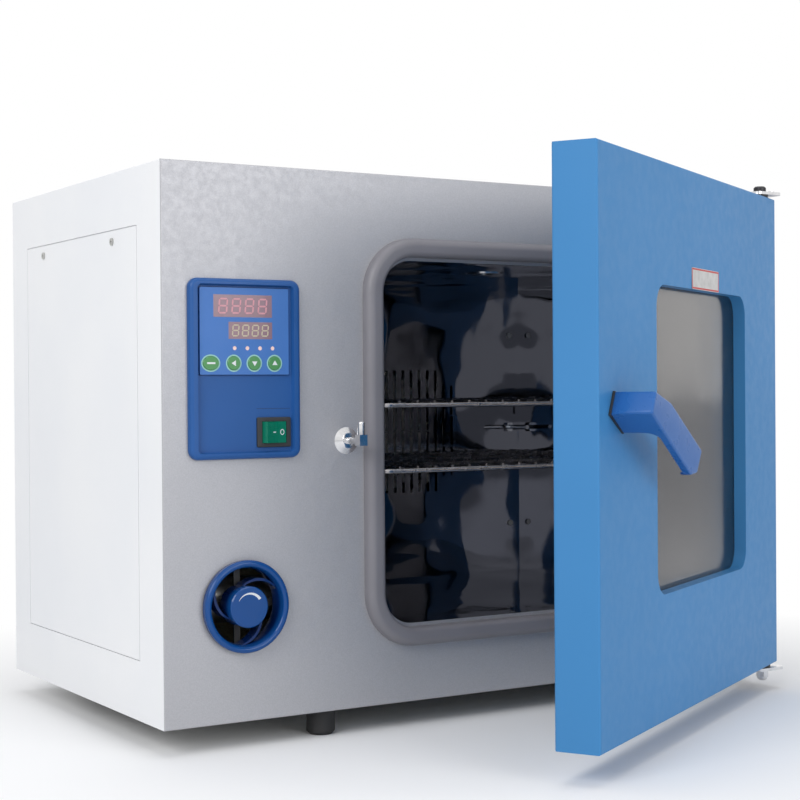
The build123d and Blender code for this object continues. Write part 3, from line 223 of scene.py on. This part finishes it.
def wool():
    """Matted yellowish insulation with coarse fibres."""
    m = new_material("mineral_wool", (0.66, 0.60, 0.42), 0.95)
    fibre = noise(m, 90, 6, 0.7, stretch=(1, 1, 5))
    vary(m, fibre, (0.52, 0.46, 0.30), (0.74, 0.69, 0.52))
    bump(m, (fibre, 0.004, 0.8), (noise(m, 500, 4), 0.001, 0.5))
    return m


def glass():
    """Window glass under its thin grey film, which is faintly creased."""
    m = new_material("window_glass", (0.60, 0.585, 0.58), 0.06)
    b = m.node_tree.nodes["Principled BSDF"]
    b.inputs["Transmission Weight"].default_value = 1.0
    b.inputs["IOR"].default_value = 1.45
    vary(m, noise(m, 9, 3), 0.04, 0.14, "Roughness")
    bump(m, (noise(m, 16, 3, 0.6), 0.002, 0.12))
    return m


def glow(name, tint, strength):
    """A lamp or a figure of the display that shines faintly."""
    m = new_material(name, tint, 0.35)
    b = m.node_tree.nodes["Principled BSDF"]
    b.inputs["Emission Color"].default_value = (*tint, 1)
    b.inputs["Emission Strength"].default_value = strength
    vary(m, noise(m, 300, 2), tuple(c * 0.9 for c in tint), tint)
    return m


WHITE = white_paint()
SILVER = silver_paint()
BLUE = blue_paint()
# Painted shade: the steel's dark tint stands in for the shade inside the chamber, on its liner, baffle and
# rails
SHADED_STEEL = polished_steel("polished_steel", (0.22, 0.225, 0.25), 0.02, 0.35)
# Painted shade: the shelf chrome's dark tint stands in for the shade inside the chamber
SHADED_WIRE = plated("shelf_wire_chrome", (0.42, 0.41, 0.42), 0.16)
CHROME = plated("chrome", (0.78, 0.78, 0.79), 0.10)
ZINC = plated("zinc_plate", (0.55, 0.55, 0.53), 0.32, scale=60)
BLACK = plated("black_oxide", (0.03, 0.03, 0.035), 0.35, metal=0.6)
BEZEL = plastic("bezel_blue", (0.016, 0.088, 0.29), 0.34, spec=0.3)
KNOB = knob_plastic()
HANDLE = plastic("handle_blue", (0.022, 0.12, 0.38), 0.26, coat=0.05, spec=0.3)
FACE = plastic("display_face", (0.038, 0.155, 0.46), 0.40, coat=0.05)
LENS = plastic("display_lens", (0.27, 0.165, 0.20), 0.14, coat=0.6)
GREEN = plastic("key_green", (0.055, 0.25, 0.07), 0.32, coat=0.3)
RING = plastic("key_ring_print", (0.30, 0.58, 0.50), 0.40)
ROCKER = plastic("rocker_green", (0.002, 0.16, 0.095), 0.24, spec=0.25)
DARK = plastic("black_moulding", (0.02, 0.02, 0.022), 0.45)
RUBBER = plastic("black_rubber", (0.015, 0.015, 0.016), 0.6, grain=300, depth=0.0003)
GASKET = plastic("grey_silicone", (0.20, 0.195, 0.215), 0.42, grain=400, depth=0.0002)
BOARD = plastic("solder_mask", (0.02, 0.13, 0.05), 0.3)
MOTOR = plated("motor_black", (0.04, 0.04, 0.042), 0.4, metal=0.3)
WOOL = wool()
GLASS = glass()
PLATE = plated("bare_aluminium", (0.60, 0.60, 0.60), 0.28)
MARK = plastic("white_print", (0.72, 0.74, 0.76), 0.45)
RED_MARK = plastic("red_print", (0.50, 0.03, 0.03), 0.4)
DIGIT_UPPER = glow("digit_segments_upper", (0.58, 0.27, 0.31), 0.05)
DIGIT_LOWER = glow("digit_segments_lower", (0.50, 0.44, 0.31), 0.05)
# Painted shade: a darker copy of the bezel blue for the shade in the engraved groove
GROOVE_SHADE = plastic("engraved_line_shade", (0.006, 0.03, 0.12), 0.4)
LAMP = glow("lamp_lens", (0.80, 0.56, 0.50), 0.10)

finishes = {
    WHITE: ["outer_casing", "service_cover", "rear_panel", "motor_cover"],
    SILVER: ["front_panel"],
    BLUE: ["door_skin", "door_inner_panel"],
    SHADED_STEEL: ["chamber_liner", "back_baffle", "shelf_rails"],
    SHADED_WIRE: ["shelf_upper", "shelf_lower"],
    CHROME: ["striker", "hinge_plate_top", "hinge_plate_bottom", "hinge_pin_bottom", "domed_nut",
             "hinge_screws", "exhaust_pipe", "temperature_sensor"],
    ZINC: ["base_pan", "pan_screws", "fan_wheel", "fan_shaft", "motor_bracket", "heating_element",
           "air_flap", "air_duct", "handle_shaft", "latch_cam"],
    BLACK: ["hinge_pin_top"],
    BEZEL: ["control_bezel"],
    KNOB: ["vent_knob"],
    HANDLE: ["handle_lever"],
    FACE: ["display_module"],
    LENS: ["display_lenses"],
    GREEN: ["button_set", "button_left", "button_down", "button_up"],
    ROCKER: ["rocker"],
    DARK: ["handle_pad", "rocker_frame", "vent_cup", "power_inlet", "fuse_holder", "hinge_bushes"],
    RUBBER: ["rubber_feet", "window_seal"],
    GASKET: ["door_gasket"],
    BOARD: ["control_board"],
    MOTOR: ["fan_motor"],
    WOOL: ["chamber_insulation", "door_insulation"],
    GLASS: ["outer_glass", "inner_glass"],
    PLATE: ["door_plate"],
    LAMP: ["indicator_lamps"],
}
for finish, names in finishes.items():
    for name in names:
        o = nodes[name]
        o.data.materials.clear()
        o.data.materials.append(finish)
        for polygon in o.data.polygons:
            polygon.use_smooth = True
        weld = o.modifiers.new("weld", "WELD")
        weld.merge_threshold = WELD_DISTANCE
        split = o.modifiers.new("edges", "EDGE_SPLIT")
        split.split_angle = SHARP_CAD_EDGE


# Mesh helpers
def finish_mesh(bm, name, material):
    """Turn a bmesh into an object with a material, smooth but for its sharp edges."""
    bmesh.ops.recalc_face_normals(bm, faces=bm.faces)
    mesh = bpy.data.meshes.new(name)
    bm.to_mesh(mesh)
    bm.free()
    o = bpy.data.objects.new(name, mesh)
    bpy.context.scene.collection.objects.link(o)
    mesh.materials.append(material)
    for polygon in mesh.polygons:
        polygon.use_smooth = True
    split = o.modifiers.new("edges", "EDGE_SPLIT")
    split.split_angle = SHARP_MARK_EDGE
    return o


def add_plate(bm, low_points, high_points):
    """A closed plate between two outlines of the same count, given in metres."""
    low = [bm.verts.new(point) for point in low_points]
    high = [bm.verts.new(point) for point in high_points]
    bm.faces.new(low)
    bm.faces.new(high)
    for i in range(len(low)):
        j = (i + 1) % len(low)
        bm.faces.new((low[i], low[j], high[j], high[i]))


def add_marks(name, outlines, place, depth, material, body):
    """Flat plates from 2D outlines, riding on a body; place(u, v, out) gives the point in millimetres."""
    bm = bmesh.new()
    for outline in outlines:
        low, high = [[Vector(place(u, v, out)) * MM for u, v in outline] for out in depth]
        add_plate(bm, low, high)
    marks = finish_mesh(bm, name, material)
    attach(marks, body)


def at_front(x, z, out):
    """A point in front of the front panel."""
    return (x, FRONT - out, z)


def on_door(x, z, out):
    """A point in front of the door's face, where it is at rest, 30 degrees open."""
    turn = Matrix.Rotation(DOOR_AT_REST, 3, "Z")
    return turn @ (Vector((x, DOOR_FACE - out, z)) - HINGE) + HINGE


def on_rocker(u, v, out):
    """A point on the tilted rocker, from its pivot: across, up, and out of its slightly hollow face."""
    half_depth, hollow = 5.25, 0.07
    turn = Matrix.Rotation(ROCKER_TILT, 3, "Z")
    return ROCKER_PIVOT + turn @ Vector((u, -(half_depth + hollow * abs(u)) - out, 0)) + Vector((0, 0, v))


def centre_of(name):
    """The middle of a CAD piece across and up, in millimetres."""
    low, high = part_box(name)
    return (low[0] + high[0]) / 2 / MM, (low[2] + high[2]) / 2 / MM


def ring(cx, cz, inner, outer, count=36, start=0.0, arc=360.0):
    """Flat quads round a centre; inner and outer give the two half sizes for the share of the arc done."""
    quads = []
    for i in range(count):
        corners = []
        for step, size in ((i, inner), (i, outer), (i + 1, outer), (i + 1, inner)):
            share = step / count
            across, up = size(share)
            turn = math.radians(start + arc * share)
            corners.append((cx + across * math.cos(turn), cz + up * math.sin(turn)))
        quads.append(corners)
    return quads


def frame_quads(cx, cz, w, h, t):
    """The four strips of a rectangular frame, w by h outside and t thick."""
    x, z = w / 2, h / 2
    strips = []
    for x0, x1, z0, z1 in ((-x, x, z - t, z), (-x, x, -z, t - z), (-x, t - x, t - z, z - t),
                           (x - t, x, t - z, z - t)):
        strips.append([(cx + x0, cz + z0), (cx + x1, cz + z0), (cx + x1, cz + z1), (cx + x0, cz + z1)])
    return strips


# Figures of the display
def digit(x, z, w, h, t, slant=0.09):
    """Seven segments of one figure as separate hexagons, all seven lit as in an 8."""
    shapes = []

    def lean(points):
        return [(x + px + slant * pz, z + pz) for px, pz in points]

    gap = t * 0.22
    for level in (-h / 2, 0, h / 2):
        a, b = -w / 2 + gap, w / 2 - gap
        shapes.append(lean([(a, level), (a + t / 2, level + t / 2), (b - t / 2, level + t / 2), (b, level),
                            (b - t / 2, level - t / 2), (a + t / 2, level - t / 2)]))
    for side in (-w / 2, w / 2):
        for low, high in ((-h / 2, 0), (0, h / 2)):
            a, b = low + gap, high - gap
            shapes.append(lean([(side, a), (side + t / 2, a + t / 2), (side + t / 2, b - t / 2), (side, b),
                                (side - t / 2, b - t / 2), (side - t / 2, a + t / 2)]))
    return shapes


FIGURES = 4
SEGMENT_SHARE = 0.2
for name, x, z, w, h, width, finish in (
        ("digits_upper", LEFT + 76.3, BOTTOM + 372.6, 7.6, 12.5, 52, DIGIT_UPPER),
        ("digits_lower", LEFT + 83.7, BOTTOM + 350.8, 5.8, 9.5, 39, DIGIT_LOWER)):
    figures = []
    for i in range(FIGURES):
        figures += digit(x + (i - (FIGURES - 1) / 2) * width / FIGURES, z, w, h, w * SEGMENT_SHARE)
    add_marks(name, figures, at_front, (FACE_OUT, FACE_OUT + 0.08), finish, "cabinet")

# Glyphs on the keys: arrows, and a short bar on the oval key
for key, body, outline in (
        ("button_set", "set_key", [(-4, -0.8), (4, -0.8), (4, 0.8), (-4, 0.8)]),
        ("button_left", "left_key", [(-2.6, 0), (1.6, 2.6), (1.6, -2.6)]),
        ("button_down", "down_key", [(0, -2.6), (-2.6, 1.6), (2.6, 1.6)]),
        ("button_up", "up_key", [(0, 2.6), (2.6, -1.6), (-2.6, -1.6)])):
    cx, cz = centre_of(key)
    add_marks(key + "_mark", [[(cx + u, cz + v) for u, v in outline]], at_front,
              (KEY_OUT - ROOT, KEY_OUT + PRINT), MARK, body)

# Rings round the keys, printed on the face, from 0.3 to 1.5 mm outside each key
KEY_HALF_HEIGHT = 6.2
rings = []
for key, half_width in (("button_set", 7.7), ("button_left", 6.2), ("button_down", 6.2), ("button_up", 6.2)):
    cx, cz = centre_of(key)
    inner, outer = [(half_width + gap, KEY_HALF_HEIGHT + gap) for gap in (0.3, 1.5)]
    rings += ring(cx, cz, lambda share: inner, lambda share: outer, count=40)
add_marks("key_rings", rings, at_front, (FACE_OUT, FACE_OUT + PRINT), RING, "cabinet")

# Marks of the mains switch: a bar on one side of the rocker and a ring on the other
bar = [(-3.6, -0.45), (-0.6, -0.45), (-0.6, 0.45), (-3.6, 0.45)]
oval = ring(6.3, 0, lambda share: (1.5, 1.875), lambda share: (2.1, 2.625))
add_marks("rocker_marks", [bar] + oval, on_rocker, (-ROOT, PRINT), MARK, "power_rocker")


# Tapering arc printed on the knob's hub
def arc_inner(share):
    """The arc's inner edge runs in towards its thick end."""
    return (12.1 - 1.3 * share,) * 2


def arc_outer(share):
    """The arc's outer edge runs out towards its thick end."""
    return (12.4 + 1.2 * share,) * 2


add_marks("knob_arc", ring(*VENT_CENTRE, arc_inner, arc_outer, start=149, arc=-116), at_front,
          (HUB_OUT - ROOT, HUB_OUT + PRINT), MARK, "vent")

# Engraved line above the mains switch, drawn as a flat strip of painted shade instead of a groove
add_marks("engraved_line_shade", [[(-255, 304.6), (-221, 304.6), (-221, 305.1), (-255, 305.1)]], at_front,
          (BEZEL_OUT - 0.05, BEZEL_OUT + 0.05), GROOVE_SHADE, "cabinet")

# Red line round the bare plate on the door
add_marks("plate_border", frame_quads(*DOOR_PLATE_CENTRE, 79.0, 19.0, 1.5), on_door,
          (PLATE_OUT - 0.02, PLATE_OUT + PRINT), RED_MARK, "door")


# Painted shade of the cross recesses in the heads of the screws that show: dark strips on the heads, not
# hollows
def cross(spot, outward, across, size=1.9, width=0.55):
    """Two crossed dark strips of painted shade on a screw head at a point in millimetres."""
    out, side = Vector(outward), Vector(across)
    up = out.cross(side)
    bm = bmesh.new()
    for a, b in ((size, width / 2), (width / 2, size)):
        corners = [Vector(spot) + side * (u * a) + up * (v * b) + out * 0.03
                   for u, v in ((-1, -1), (1, -1), (1, 1), (-1, 1))]
        add_plate(bm, [(corner - out * 0.06) * MM for corner in corners], [corner * MM for corner in corners])
    return bm


cover_screws = [((LEFT - 1.6, FRONT + y, BOTTOM + 436), (-1, 0, 0), (0, 1, 0)) for y in (112, 297)]
hinge_screws = [((x, y, z), (0, 0, up), (1, 0, 0))
                for x, y in ((327, FRONT + 14), (327, FRONT + 34), (337, FRONT - 43))
                for z, up in ((TOP + 4.6, 1), (BOTTOM - 4.6, -1))]
cover_x, cover_z = MOTOR_COVER_CENTRE
motor_cover_screws = [((cover_x + x, BACK + 3.1, cover_z + z), (0, 1, 0), (1, 0, 0))
                      for x in (-116, 116) for z in (-80, 80)]
for number, (spot, outward, across) in enumerate(cover_screws + hinge_screws + motor_cover_screws):
    # Painted shade: the black moulding stands in for the shade inside each cross recess
    recess = finish_mesh(cross(spot, outward, across), f"screw_recess_shade_{number}", DARK)
    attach(recess, "cabinet")


# Floor
def floor_material():
    """White, with the shadows near the object, and far from it plain white to the camera only."""
    m = new_material("floor_white", (0.90, 0.90, 0.90), 0.9, spec=0.0)
    shade_radius, white_radius = 0.36, 0.82
    out = m.node_tree.nodes["Material Output"]
    shader = m.node_tree.nodes["Principled BSDF"]
    emit = node(m, "ShaderNodeEmission")
    emit.inputs["Color"].default_value = (1, 1, 1, 1)
    mix = node(m, "ShaderNodeMixShader")
    coords = node(m, "ShaderNodeTexCoord")
    length = node(m, "ShaderNodeVectorMath", operation="LENGTH")
    wire(m, coords.outputs["Object"], length.inputs[0])
    reach = node(m, "ShaderNodeMapRange")
    reach.inputs["From Min"].default_value = shade_radius
    reach.inputs["From Max"].default_value = white_radius
    wire(m, length.outputs["Value"], reach.inputs["Value"])
    rays = node(m, "ShaderNodeLightPath")
    seen = node(m, "ShaderNodeMath", operation="MULTIPLY")
    wire(m, reach.outputs["Result"], seen.inputs[0])
    wire(m, rays.outputs["Is Camera Ray"], seen.inputs[1])
    wire(m, seen.outputs["Value"], mix.inputs["Fac"])
    wire(m, shader.outputs["BSDF"], mix.inputs[1])
    wire(m, emit.outputs["Emission"], mix.inputs[2])
    wire(m, mix.outputs["Shader"], out.inputs["Surface"])
    return m


FLOOR_RADIUS = 40
bm = bmesh.new()
bmesh.ops.create_circle(bm, cap_ends=True, radius=FLOOR_RADIUS, segments=64)
floor = finish_mesh(bm, "floor", floor_material())


# World and lamps
def studio_world():
    """A soft bluish light, seen as pure white by the camera and in reflections and the window."""
    world = bpy.data.worlds.new("studio")
    bpy.context.scene.world = world
    world.use_nodes = True
    tree = world.node_tree
    light = tree.nodes["Background"]
    light.inputs["Color"].default_value = (0.93, 0.95, 1.0, 1)
    light.inputs["Strength"].default_value = 0.55
    white = tree.nodes.new("ShaderNodeBackground")
    white.inputs["Color"].default_value = (1, 1, 1, 1)
    white.inputs["Strength"].default_value = 1.0
    path = tree.nodes.new("ShaderNodeLightPath")
    share = path.outputs["Is Camera Ray"]
    for ray in ("Is Transmission Ray", "Is Glossy Ray"):
        either = tree.nodes.new("ShaderNodeMath")
        either.operation = "MAXIMUM"
        tree.links.new(share, either.inputs[0])
        tree.links.new(path.outputs[ray], either.inputs[1])
        share = either.outputs["Value"]
    blend = tree.nodes.new("ShaderNodeMixShader")
    tree.links.new(share, blend.inputs["Fac"])
    tree.links.new(light.outputs["Background"], blend.inputs[1])
    tree.links.new(white.outputs["Background"], blend.inputs[2])
    tree.links.new(blend.outputs["Shader"], tree.nodes["World Output"].inputs["Surface"])


def add_lamp(name, spot, target, size, power):
    """A white rectangular lamp, in metres and watts, that looks at a target."""
    data = bpy.data.lights.new(name, "AREA")
    data.shape = "RECTANGLE"
    data.size, data.size_y = size
    data.energy = power
    lamp = bpy.data.objects.new(name, data)
    bpy.context.scene.collection.objects.link(lamp)
    lamp.location = spot
    lamp.rotation_euler = (Vector(target) - Vector(spot)).to_track_quat("-Z", "Y").to_euler()


studio_world()
add_lamp("key_left", (-2.6, -1.4, 1.9), (-0.1, 0, 0.3), (1.6, 1.6), 46)
add_lamp("fill_front", (0.6, -3.0, 1.2), (0, 0, 0.3), (1.8, 1.2), 26)
add_lamp("top", (0.0, 0.0, 2.8), (0, 0, 0.3), (2.0, 2.0), 20)

# Camera, as fitted to the photo: its focal length in pixels, its turn in degrees and its place in metres
PICTURE_WIDTH = 800
FOCAL_LENGTH = 1662.3
SENSOR_WIDTH = 36
CAMERA_SPOT = Vector((-0.9286, (FRONT - 1341.7) * MM, 0.3227))
yaw, pitch, roll = math.radians(31.65), math.radians(-0.42), math.radians(-0.39)


def add_camera():
    """Look along yaw and pitch, with the picture turned by roll."""
    ahead = Vector((math.sin(yaw) * math.cos(pitch), math.cos(yaw) * math.cos(pitch), math.sin(pitch)))
    level = Vector((math.cos(yaw), -math.sin(yaw), 0))
    upright = level.cross(ahead)
    across = math.cos(roll) * level + math.sin(roll) * upright
    upward = -math.sin(roll) * level + math.cos(roll) * upright
    data = bpy.data.cameras.new("camera")
    data.sensor_width = SENSOR_WIDTH
    data.lens = FOCAL_LENGTH / PICTURE_WIDTH * SENSOR_WIDTH
    camera = bpy.data.objects.new("camera", data)
    bpy.context.scene.collection.objects.link(camera)
    camera.matrix_world = Matrix((across, upward, -ahead)).transposed().to_4x4()
    camera.matrix_world.translation = CAMERA_SPOT
    bpy.context.scene.camera = camera


add_camera()
bpy.context.scene.view_settings.view_transform = "Standard"
